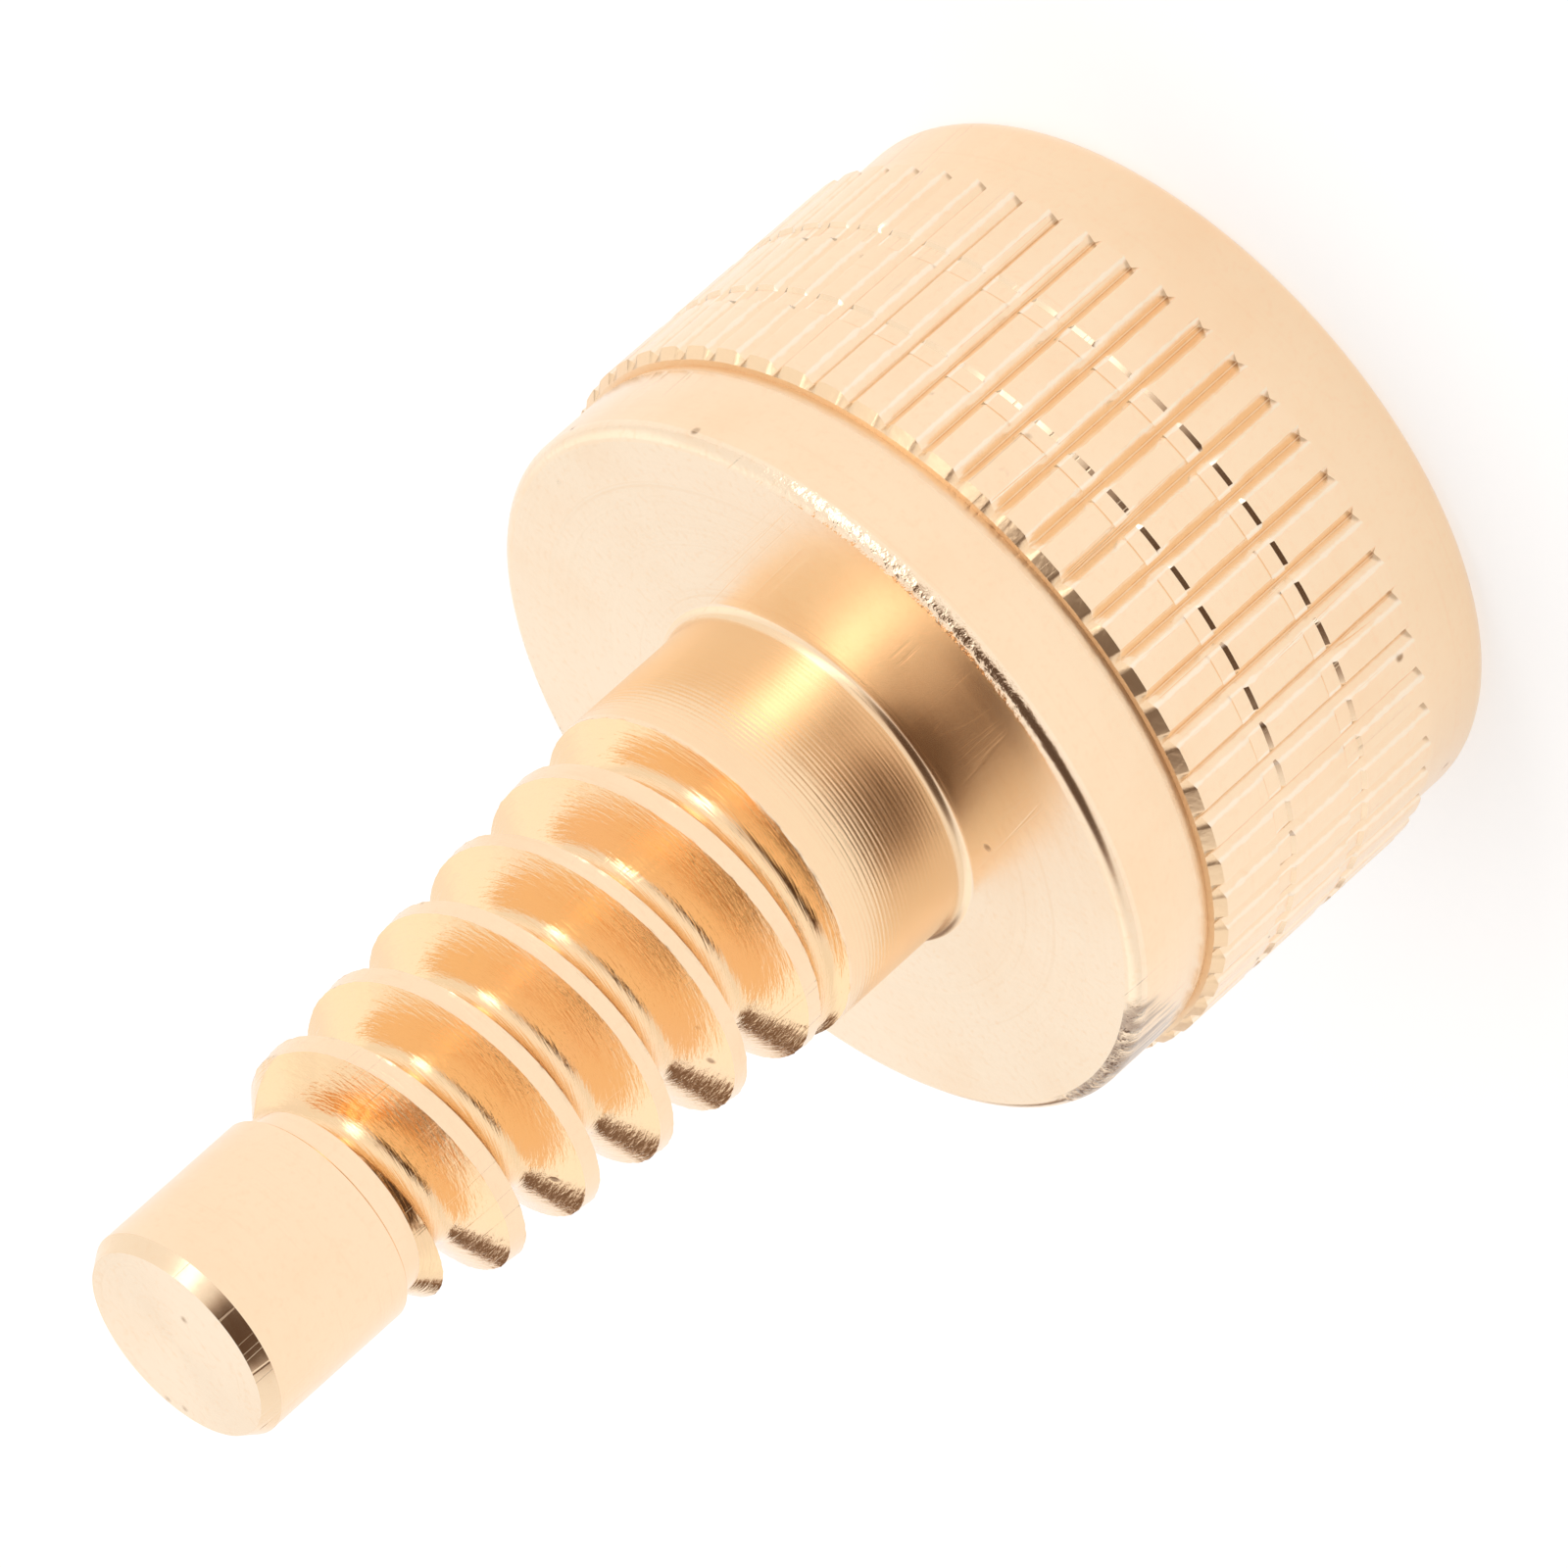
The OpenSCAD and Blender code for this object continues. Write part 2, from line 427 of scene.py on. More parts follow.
def threadTree(material):
    # a flat grid wound round the taper, as one strip from crest to crest for each turn
    tree, _, size = geometryTree("helicalThread", thread)
    parts = ["crest", "edge", "flank", "corner", "flat", "corner", "flank", "edge", "crest"]
    rowCount = sum(threadRows[part] for part in parts)
    grid = tree.nodes.new("GeometryNodeMeshGrid")
    feed(tree, size["Turns"], grid.inputs["Size X"])
    feed(tree, float(rowCount), grid.inputs["Size Y"])
    feed(tree, size["Turns"] * size["Points Each Turn"] + 1, grid.inputs["Vertices X"])
    grid.inputs["Vertices Y"].default_value = rowCount + 1
    position = tree.nodes.new("GeometryNodeInputPosition")
    x, y, _ = partsOf(tree, position.outputs[0])
    turn = x + size["Turns"] / 2 + size["First Turn"]
    row = y + rowCount / 2
    pitch = size["Pitch"]

    def crestAt(level):
        return size["Neck Radius"] - size["Crest Taper"] * (level - size["Taper Bottom"])

    def rootAt(level):
        fall = size["Root Taper"] * (level - size["Taper Bottom"])
        return size["Neck Radius"] - size["Thread Depth"] - fall

    def outPart(t):
        return ((t - size["Run Out"]) / size["Run Out Length"]).between(0.0, 1.0)

    def levelAt(t):
        lift = pitch * size["Run Out Length"] * outPart(t) * outPart(t) / 2
        return size["First Groove"] - pitch * t + lift

    slope = (size["Flank Angle"] * (math.pi / 360)).make("TANGENT")
    flat, corner = size["Root Flat"] / 2, size["Root Round"]
    lean = size["Flank Angle"] * (math.pi / 360)
    cornerOut = flat + corner * lean.make("COSINE")
    cornerUp = corner - corner * lean.make("SINE")

    def grooveAt(t):
        # the groove's centre, its root and how far its upper and lower edges are from the centre
        level = levelAt(t)
        inPart = (size["Run In Length"] - size["Run In"] - t) / size["Run In Length"]
        inPart = inPart.between(0.0, 1.0)
        full, clear = rootAt(level), crestAt(level) + size["Clearance"]
        root = full + (clear - full) * (outPart(t) + inPart).atMost(1.0)
        cone = size["Tip Relief Radius"] + size["Taper Top"] - level
        edges = []
        for side in (1, -1):
            reaches = []
            for surface, taper in ((crestAt(level), size["Crest Taper"] * side), (cone, side)):
                run = cornerOut + (surface - root - cornerUp) * slope
                reaches.append(run / (1 + taper * slope))
            edges.append(reaches[0].atMost(reaches[1]).atLeast(size["Least Reach"]))
        return level, root, edges[0], edges[1]

    level, root, upper, lower = grooveAt(turn)
    before, after = grooveAt(turn - 1), grooveAt(turn + 1)
    above = (before[0] - before[3] + level + upper) / 2 - level
    below = (level - lower + after[0] + after[2]) / 2 - level
    edge, most, least = size["Edge Row"], size["Corner Share"], size["Flat Share"]
    knots = [above, upper + edge, upper, cornerOut.atMost(upper * most), flat.atMost(upper * least)]
    knots += [-1 * flat.atMost(lower * least), -1 * cornerOut.atMost(lower * most)]
    knots += [-1 * lower, -1 * (lower + edge), below]
    away, passed = knots[0], 0
    for part, here, there in zip(parts, knots, knots[1:]):
        share = ((row - passed) / threadRows[part]).between(0.0, 1.0)
        away = away + share * (there - here)
        passed += threadRows[part]
    raw = level + away
    height = raw.between(size["Taper Bottom"], size["Taper Top"])
    plain = crestAt(height).atMost(size["Tip Relief Radius"] + size["Taper Top"] - height)
    fromFlat = (away.make("ABSOLUTE") - flat).atLeast(0.0)
    inCorner = fromFlat.atMost(cornerOut - flat)
    groove = root + corner - (corner * corner - inCorner * inCorner).atLeast(0.0).make("SQRT")
    groove = groove + (fromFlat - inCorner) / slope
    trimmed = ((raw - height).make("ABSOLUTE") * 1000).atMost(1.0)  # 1 past the taper's ends

    angle = -math.pi / 2 - turn * (2 * math.pi)
    edgeRows = [threadRows["crest"] + 1, rowCount - threadRows["crest"] - 1]
    onEdge = sum(1 - (row - number).make("ABSOLUTE").atMost(1.0) for number in edgeRows)
    ring = size["Burr Ring"]
    around = vectorNode(tree, angle.make("COSINE") * ring, angle.make("SINE") * ring, height)
    ragged = noiseNode(tree, around, size["Burr Grain"], 3.0, 0.7) - size["Burr Start"]
    burr = onEdge * ragged.atLeast(size["Burr Dip"]) * size["Burr"] * size["Burr Gain"] * (1 - trimmed)
    cut = groove.atMost(plain)
    radius = (cut + trimmed * (plain - cut) + burr) * mm
    place = tree.nodes.new("GeometryNodeSetPosition")
    spot = vectorNode(tree, radius * angle.make("COSINE"), radius * angle.make("SINE"), height * mm)
    tree.links.new(grid.outputs["Mesh"], place.inputs["Geometry"])
    tree.links.new(spot, place.inputs["Position"])
    weld = tree.nodes.new("GeometryNodeMergeByDistance")
    weld.inputs["Distance"].default_value = weldGap * mm
    tree.links.new(place.outputs[0], weld.inputs["Geometry"])
    finishTree(tree, weld.outputs[0], material)
    return tree


neckRings = {"filletSteps": 6, "levels": (15.2, 16.4)}


def makeNeck(angles):
    turning = Turning()
    radius, fillet = screw["neckRadius"], screw["neckFillet"]
    centre = (radius + fillet, screw["headHeight"] + fillet)
    rows = arcRows(*centre, fillet, 270, 180, neckRings["filletSteps"])
    rows += [(radius, level) for level in (*neckRings["levels"], screw["taperBottom"])]
    turning.stack(rows, angles)
    return turning.mesh("neck")


pilotRings = {
    "edge": 0.05,            # bevel on the pilot's lower edge
    "levels": (34.2, 35.8),
    "end": (1.8, 0.6),       # radii of the rings on the pilot's end
}


def makePilot(angles):
    turning = Turning()
    pilot, top, edge = screw["pilotRadius"], screw["top"], pilotRings["edge"]
    relief, bottom = screw["tipReliefRadius"], screw["pilotBottom"]
    rows = [(relief, screw["taperTop"]), (relief, bottom)]
    rows += [(pilot - edge, bottom), (pilot, bottom + edge)]
    rows += [(pilot, level) for level in (*pilotRings["levels"], top - screw["pilotBevelHeight"])]
    rows += [(pilot - screw["pilotBevel"], top), (pilotRings["end"][0], top)]
    rings = turning.stack(rows, angles)
    sparse = evenAngles(centreSides)
    middle = turning.ring(pilotRings["end"][1], top, sparse)
    turning.stitch(rings[-1], angles, middle, sparse)
    turning.pole(middle, top, True)
    return turning.mesh("pilot")


def joined(name, meshes):
    # one closed mesh out of several that meet ring to ring
    work = bmesh.new()
    for mesh in meshes:
        work.from_mesh(mesh)
    bmesh.ops.remove_doubles(work, verts=work.verts, dist=weldGap * mm)
    bmesh.ops.dissolve_degenerate(work, edges=work.edges, dist=leastEdge * mm)
    for face in work.faces:
        face.smooth = True
    openEdges = sum(1 for edge in work.edges if len(edge.link_faces) != 2)
    print(name, len(work.verts), "points", len(work.faces), "faces", openEdges, "open edges",
          round(work.calc_volume() / mm ** 3, 1), "mm3")
    whole = bpy.data.meshes.new(name)
    work.to_mesh(whole)
    work.free()
    whole.set_sharp_from_angle(angle=math.radians(sharpAngle))
    return whole


def makeScrew(brasses):
    # the four shapes are made one mesh, and each face then gets its finish
    angles = evenAngles(thread["Points Each Turn"])
    # the strip's points start at this angle, so the plain rings start there too
    offset = (-math.pi / 2 - thread["First Turn"] * 2 * math.pi) % (2 * math.pi / len(angles))
    angles = [a + offset for a in angles]
    head = makeHead(brasses["knurledBrass"], angles)
    strip = grown("helicalThread", threadTree(brasses["threadBrass"]), thread)
    mesh = joined("turnedScrew", [head, makeNeck(angles), strip, makePilot(angles)])
    mesh.materials.clear()
    for material in brasses.values():
        mesh.materials.append(material)
    names = list(brasses)
    for face in mesh.polygons:
        face.material_index = names.index(finishOf(face.center))
    piece = bpy.data.objects.new("turnedScrew", mesh)
    bpy.context.scene.collection.objects.link(piece)
    return piece


def shaderGroup(name, inputs, outputs):
    # a shader node group with named inputs and their usual values, and named outputs;
    # an input without a usual value is a vector
    tree = bpy.data.node_groups.new(name, "ShaderNodeTree")
    start, end = tree.nodes.new("NodeGroupInput"), tree.nodes.new("NodeGroupOutput")
    for label, value in inputs.items():
        kind = "NodeSocketVector" if value is None else "NodeSocketFloat"
        socket = tree.interface.new_socket(label, in_out="INPUT", socket_type=kind)
        if value is not None:
            socket.default_value = value
    for label, kind in outputs.items():
        tree.interface.new_socket(label, in_out="OUTPUT", socket_type="NodeSocket" + kind)
    values = {label: NodeValue(tree, start.outputs[label]) for label in inputs}
    return tree, values, end


def endGroup(tree, end, **values):
    # joins each value to the output of its name
    for label, value in values.items():
        feed(tree, value, end.inputs[label])
    arrange(tree)
    return tree


def useGroup(tree, group, **values):
    # places a group in a material and gives back its outputs by name
    node = tree.nodes.new("ShaderNodeGroup")
    node.node_tree = group
    for label, value in values.items():
        feed(tree, value, node.inputs[label])
    return {out.name: NodeValue(tree, out) for out in node.outputs}


def mixColour(tree, share, first, second):
    node = tree.nodes.new("ShaderNodeMix")
    node.data_type = "RGBA"
    colours = {socket.name: socket for socket in node.inputs if socket.type == "RGBA"}
    feed(tree, share, node.inputs["Factor"])
    feed(tree, first, colours["A"])
    feed(tree, second, colours["B"])
    return NodeValue(tree, next(out for out in node.outputs if out.type == "RGBA"))


def bumpNode(tree, strength, height, value, under=None):
    # a bump of so many millimetres, over the one under it
    node = tree.nodes.new("ShaderNodeBump")
    node.inputs["Strength"].default_value = strength
    node.inputs["Distance"].default_value = height * mm
    feed(tree, value, node.inputs["Height"])
    if under is not None:
        tree.links.new(under, node.inputs["Normal"])
    return node.outputs[0]


def stretched(tree, vectorSocket, scale, rotation=(0.0, 0.0, 0.0)):
    node = tree.nodes.new("ShaderNodeMapping")
    node.inputs["Rotation"].default_value = rotation
    node.inputs["Scale"].default_value = scale
    tree.links.new(vectorSocket, node.inputs["Vector"])
    return node.outputs[0]


def ramp(tree, value, low, high, smooth=True):
    # 0 below the low value, 1 above the high one
    node = tree.nodes.new("ShaderNodeMapRange")
    node.interpolation_type = "SMOOTHSTEP" if smooth else "LINEAR"
    feed(tree, value, node.inputs["Value"])
    node.inputs["From Min"].default_value = low
    node.inputs["From Max"].default_value = high
    return NodeValue(tree, node.outputs["Result"])


turnShift = 3.7          # keeps one turn of the thread from looking like the next


def polarGroup():
    # level in millimetres and angle in radians of a point on the screw, and two ways to lay lines
    # round it: by radius and level together, for faces and walls, or by radius, for the thread
    made = {"Level": "Float", "Angle": "Float", "Lines": "Vector", "Rings": "Vector"}
    tree, size, end = shaderGroup("latheCoordinates", {"Place": None}, made)
    x, y, z = partsOf(tree, size["Place"].socket)
    radius = (x * x + y * y).make("SQRT") / mm
    level = z / mm
    angle = y.make("ARCTAN2", x)
    cosine, sine = angle.make("COSINE"), angle.make("SINE")
    lines = NodeValue(tree, vectorNode(tree, radius + level, cosine, sine))
    rings = NodeValue(tree, vectorNode(tree, radius, cosine + level * turnShift, sine))
    return endGroup(tree, end, Level=level, Angle=angle, Lines=lines, Rings=rings)


turningLines = {
    "fine": 14.0,            # fine and coarse lines in each millimetre, roughly
    "coarse": 4.5,
    "coarseLength": 0.6,
    "fineShare": 0.6,
    "feedPitch": 0.13,       # mm between the evenly spaced lines
    "feedWander": 6.0,
    "deep": (0.56, 0.7),     # where a line begins to count as deep, and where it fully does
}


def turningGroup():
    # fine lines left by the lathe tool, as a height and as a mask of the deeper ones
    usual = {"Lines": None, "Fineness": 1.0, "Length": 1.0, "Feed": 0.0}
    tree, size, end = shaderGroup("turningLines", usual, {"Height": "Float", "Deep": "Float"})
    across, a, b = partsOf(tree, size["Lines"].socket)
    short, longer = size["Length"], size["Length"] * turningLines["coarseLength"]
    along = across * size["Fineness"]
    fine = vectorNode(tree, along * turningLines["fine"], a * short, b * short)
    coarse = vectorNode(tree, along * turningLines["coarse"], a * longer, b * longer)
    small, large = noiseNode(tree, fine, 1.0, 3.0, 0.6), noiseNode(tree, coarse, 1.0)
    wave = across * (2 * math.pi / turningLines["feedPitch"]) + large * turningLines["feedWander"]
    evenly = (wave.make("SINE") * 0.5 + 0.5) * size["Feed"]
    height = small * turningLines["fineShare"] + large * (1 - turningLines["fineShare"])
    return endGroup(tree, end, Height=height * (1 - size["Feed"]) + evenly,
                    Deep=ramp(tree, small * 0.5 + large * 0.5, *turningLines["deep"]))


handling = {
    "patches": 160.0,        # grain of the patches that hold scratches
    "patchRange": (0.5, 0.62),
    "scratches": ((0.5, 900.0), (1.9, 1300.0), (2.7, 700.0)),  # turn and fineness of each set
    "tilts": (1.0, 1.7, 0.6),
    "stretch": 0.03,         # fineness along a scratch, in parts of that across it
    "width": 0.006,
    "cells": 900.0,          # each cell may hold one pit
    "pitRange": (0.06, 0.16),
    "spread": 420.0,         # grain of the patches that hold pits
    "spreadRange": (0.6, 0.68),
}


def marksGroup():
    # scratches that cross the turning lines, and small pits and specks
    usual = {"Place": None, "Scratches": 0.5, "Pits": 0.5}
    tree, size, end = shaderGroup("handlingMarks", usual, {"Scratch": "Float", "Pit": "Float"})
    place = size["Place"].socket
    patch = ramp(tree, noiseNode(tree, place, handling["patches"]), *handling["patchRange"])
    found = None
    for turn, fineness in handling["scratches"]:
        along = fineness * handling["stretch"]
        tilted = [turn * tilt for tilt in handling["tilts"]]
        laid = stretched(tree, place, (fineness, along, along), tilted)
        line = (noiseNode(tree, laid, 1.0, 1.0) - 0.5).make("ABSOLUTE")
        scratch = (1 - ramp(tree, line, 0.0, handling["width"])) * patch
        found = scratch if found is None else found.atLeast(scratch)
    cells = tree.nodes.new("ShaderNodeTexVoronoi")
    cells.inputs["Scale"].default_value = handling["cells"]
    tree.links.new(place, cells.inputs["Vector"])
    near = 1 - ramp(tree, NodeValue(tree, cells.outputs["Distance"]), *handling["pitRange"])
    spread = ramp(tree, noiseNode(tree, place, handling["spread"], 3.0, 0.6), *handling["spreadRange"])
    return endGroup(tree, end, Scratch=found * size["Scratches"], Pit=near * spread * size["Pits"])


knurlPaintedLight = {
    # painted light on the knurl; each range is in millimetres, and its rough value says how far the
    # speckle moves it
    "speckle": 3200.0,
    "root": (0.03, 0.07),
    "rootRough": 0.04,
    "edge": (0.07, 0.13),
    "edgeRough": 0.12,
    "edgeInset": 0.05,
    "low": (0.2, 0.34),      # above the foot of the ribs
    "lowRough": 0.2,
    "lowLean": 0.5,
    "lowWidth": (0.12, 0.24),
    "lowDark": 0.5,
    "high": (-0.2, -0.1),    # from the top of the ribs
    "highRough": 0.1,
    "highWidth": (0.1, 0.3),
    "highDark": 0.65,
}


def knurlLinesGroup():
    # painted shade along the bottom of each V, a painted highlight along the speckled edges beside it,
    # and painted shade at its ends, at the foot of the ribs and under the flange
    usual = {"Level": 0.0, "Angle": 0.0, "Place": None}
    made = {"Root": "Float", "Edge": "Float", "End": "Float"}
    tree, size, end = shaderGroup("knurlLines", usual, made)
    step = 2 * math.pi / knurl["V Grooves"]
    steps = (size["Angle"] - math.radians(knurl["First V"])) / step + 0.5
    fromV = (steps.make("FLOORED_MODULO", 1.0) - 0.5).make("ABSOLUTE") * step * screw["knurlRadius"]
    half = knurl["V Depth"] * math.tan(math.radians(knurl["V Angle"] / 2))
    speckle = noiseNode(tree, size["Place"].socket, knurlPaintedLight["speckle"], 3.0, 0.6)
    root = 1 - ramp(tree, fromV + speckle * knurlPaintedLight["rootRough"], *knurlPaintedLight["root"])
    fromEdge = (fromV - half + knurlPaintedLight["edgeInset"]).make("ABSOLUTE")
    edge = 1 - ramp(tree, fromEdge + speckle * knurlPaintedLight["edgeRough"], *knurlPaintedLight["edge"])
    lowAt = [screw["ribsBottom"] + reach for reach in knurlPaintedLight["low"]]
    highAt = [screw["ribsTop"] + reach for reach in knurlPaintedLight["high"]]
    leaning = size["Level"] + fromV * knurlPaintedLight["lowLean"] + speckle * knurlPaintedLight["lowRough"]
    low = (1 - ramp(tree, leaning, *lowAt)) * (1 - ramp(tree, fromV, *knurlPaintedLight["lowWidth"]))
    high = ramp(tree, size["Level"] + speckle * knurlPaintedLight["highRough"], *highAt)
    high = high * (1 - ramp(tree, fromV, *knurlPaintedLight["highWidth"]))
    ends = (low * knurlPaintedLight["lowDark"]).atLeast(high * knurlPaintedLight["highDark"])
    return endGroup(tree, end, Root=root, Edge=edge, End=ends)


rimWearAndShade = {
    # each range is in millimetres, where the mark fades in or out, apart from that of the streaks
    "bruiseIn": (-5.0, 0.5),
    "bruiseOut": (5.5, 8.0),
    "bruiseFade": 0.8,
    "brushing": (2400.0, 2400.0, 500.0),
    "streaks": (0.3, 0.6),
    "paintedShade": (15.95, 16.35),
    "shadeLean": 0.45,       # how much further round the painted shade reaches for each millimetre up
    "shadeRough": 0.6,
    "shadeFoot": (11.1, 11.4),
    "shadeTop": (13.9, 14.0),
    "shadeBack": (0.5, 2.5),
}


def wearAndShadeGroup():
    # the rim is bruised on one side, and the flange below it, a quarter turn further on, is darkened
    # with painted shade, which stands in for a dark reflection there
    tree, size, end = shaderGroup("localWearAndShade", {"Place": None}, {"Bruise": "Float", "Stain": "Float"})
    x, y, z = partsOf(tree, size["Place"].socket)
    across, level = x / mm, z / mm
    fade = ramp(tree, across, *rimWearAndShade["bruiseOut"]) * rimWearAndShade["bruiseFade"]
    bruise = ramp(tree, across, *rimWearAndShade["bruiseIn"]) * (1 - fade)
    brushed = stretched(tree, size["Place"].socket, rimWearAndShade["brushing"])
    streaks = noiseNode(tree, brushed, 1.0, 3.0, 0.6)
    reach = across * -1 + level * rimWearAndShade["shadeLean"] + streaks * rimWearAndShade["shadeRough"]
    paintedShade = ramp(tree, reach, *rimWearAndShade["paintedShade"]) * ramp(tree, level, *rimWearAndShade["shadeFoot"])
    paintedShade = paintedShade * (1 - ramp(tree, level, *rimWearAndShade["shadeTop"]))
    paintedShade = paintedShade * (1 - ramp(tree, y / mm, *rimWearAndShade["shadeBack"]))
    return endGroup(tree, end, Bruise=bruise, Stain=paintedShade * ramp(tree, streaks, *rimWearAndShade["streaks"]))


patina = {
    "cloud": 260.0,
    "cloudRange": (0.4, 0.8),
    "cloudDepth": 0.5,       # on a plain finish, and how much less of it a pale one shows
    "cloudFade": 0.4,
    "specks": 5200.0,
    "speckRange": (0.5, 0.75),
    "speckDepth": 0.3,
    "dents": 2600.0,
}


def patinaGroup():
    # uneven tone in soft clouds and fine specks, and the dents of a bruised place
    usual = {"Place": None, "Clouding": 0.5}
    made = {"Cloud": "Float", "Specks": "Float", "Dents": "Float"}
    tree, size, end = shaderGroup("brassPatina", usual, made)
    place = size["Place"].socket
    cloud = ramp(tree, noiseNode(tree, place, patina["cloud"], 4.0, 0.6), *patina["cloudRange"])
    specks = ramp(tree, noiseNode(tree, place, patina["specks"], 2.0, 0.6), *patina["speckRange"])
    return endGroup(tree, end, Cloud=cloud * size["Clouding"], Specks=specks * patina["speckDepth"],
                    Dents=noiseNode(tree, place, patina["dents"], 3.0, 0.55))


finishes = {
    # how rough, how much the lines add to that, its spread along the lines, and how pale, where the
    # paler or deeper colour is painted light for that face; then the bump of lines, marks and dents;
    # how fine and short the lines are, and the evenly spaced share of them; how strong scratches and
    # pits are
    "turnedBrass": {
        "roughness": 0.13, "lineRoughness": 0.16, "anisotropy": 0.5, "pale": -0.05,
        "lines": 0.12, "marks": 0.3, "dents": 0.0,
        "fineness": 1.0, "length": 1.6, "feed": 0.1,
        "scratches": 0.6, "pits": 0.6,
    },
    "neckBrass": {
        "roughness": 0.15, "lineRoughness": 0.16, "anisotropy": 0.6, "pale": -0.4,
        "lines": 0.15, "marks": 0.3, "dents": 0.0,
        "fineness": 1.0, "length": 2.4, "feed": 0.2,
        "scratches": 0.4, "pits": 0.4,
    },
    # paler: painted highlight on the flat end faces
    "facedBrass": {
        "roughness": 0.2, "lineRoughness": 0.1, "anisotropy": 0.75, "pale": 0.45,
        "lines": 0.045, "marks": 0.12, "dents": 0.0,
        "fineness": 1.2, "length": 0.8, "feed": 0.0,
        "scratches": 0.9, "pits": 0.9,
    },
    "rimBrass": {
        "roughness": 0.16, "lineRoughness": 0.1, "anisotropy": 0.2, "pale": 0.3,
        "lines": 0.1, "marks": 0.6, "dents": 0.6,
        "fineness": 1.0, "length": 6.0, "feed": 0.0,
        "scratches": 0.5, "pits": 1.0,
    },
    # much deeper: painted reflection of the thread's flanks in one another
    "threadBrass": {
        "roughness": 0.04, "lineRoughness": 0.09, "anisotropy": 0.3, "pale": -0.7,
        "lines": 0.6, "marks": 0.3, "dents": 0.0,
        "fineness": 0.7, "length": 4.0, "feed": 0.0,
        "scratches": 0.3, "pits": 0.9,
    },
    "crestBrass": {
        "roughness": 0.14, "lineRoughness": 0.16, "anisotropy": 0.3, "pale": -0.1,
        "lines": 0.35, "marks": 0.5, "dents": 0.12,
        "fineness": 1.0, "length": 4.0, "feed": 0.0,
        "scratches": 0.6, "pits": 0.9,
    },
    "lowEdgeBrass": {
        "roughness": 0.36, "lineRoughness": 0.1, "anisotropy": 0.2, "pale": 0.0,
        "lines": 0.1, "marks": 0.3, "dents": 0.1,
        "fineness": 1.0, "length": 3.0, "feed": 0.0,
        "scratches": 0.4, "pits": 1.0,
    },
    # deeper: painted shade under the flange
    "ribEndBrass": {
        "roughness": 0.3, "lineRoughness": 0.1, "anisotropy": 0.1, "pale": -0.4,
        "lines": 0.1, "marks": 0.3, "dents": 0.15,
        "fineness": 1.0, "length": 3.0, "feed": 0.0,
        "scratches": 0.4, "pits": 1.0,
    },
    "knurledBrass": {
        "roughness": 0.18, "lineRoughness": 0.1, "anisotropy": 0.1, "pale": 0.0,
        "lines": 0.06, "marks": 0.4, "dents": 0.0,
        "fineness": 1.0, "length": 3.0, "feed": 0.1,
        "scratches": 0.6, "pits": 1.0,
    },
}
brassColour = (0.955, 0.735, 0.51, 1.0)
# paleBrass is the colour of painted highlights: pale finishes lean toward it, and the knurl's V edges
# are painted with it
paleBrass = (0.98, 0.84, 0.68, 1.0)
deepBrass = (0.93, 0.65, 0.41, 1.0)
# colour of the painted shade in the knurl's V roots
rootShadeBrass = (0.80, 0.46, 0.22, 1.0)
# dark colour of real pits, and of the painted shade at the knurl's V ends
darkPitAndShade = (0.30, 0.17, 0.09, 1.0)
# colour of the painted shade on the flange's far side, which stands in for a dark reflection
paintedShadeColour = (0.34, 0.24, 0.18, 1.0)
strengths = {
    # how much of each mark's colour shows; the knurl's edge mark is a painted highlight, and its root
    # mark and the flange's mark are painted shade
    "deep": 0.3,             # on a plain finish, and how much less of it a pale one shows
    "deepFade": 0.2,
    "pit": 0.8,
    "paintedShade": 0.8,
    # painted highlight along the knurl's V edges
    "edge": 0.8,
    # painted shade in the knurl's V roots
    "root": 0.6,
    "pitRoughness": 0.2,
}
heights = {"lines": 0.05, "marks": 0.03, "dents": 0.15}  # mm


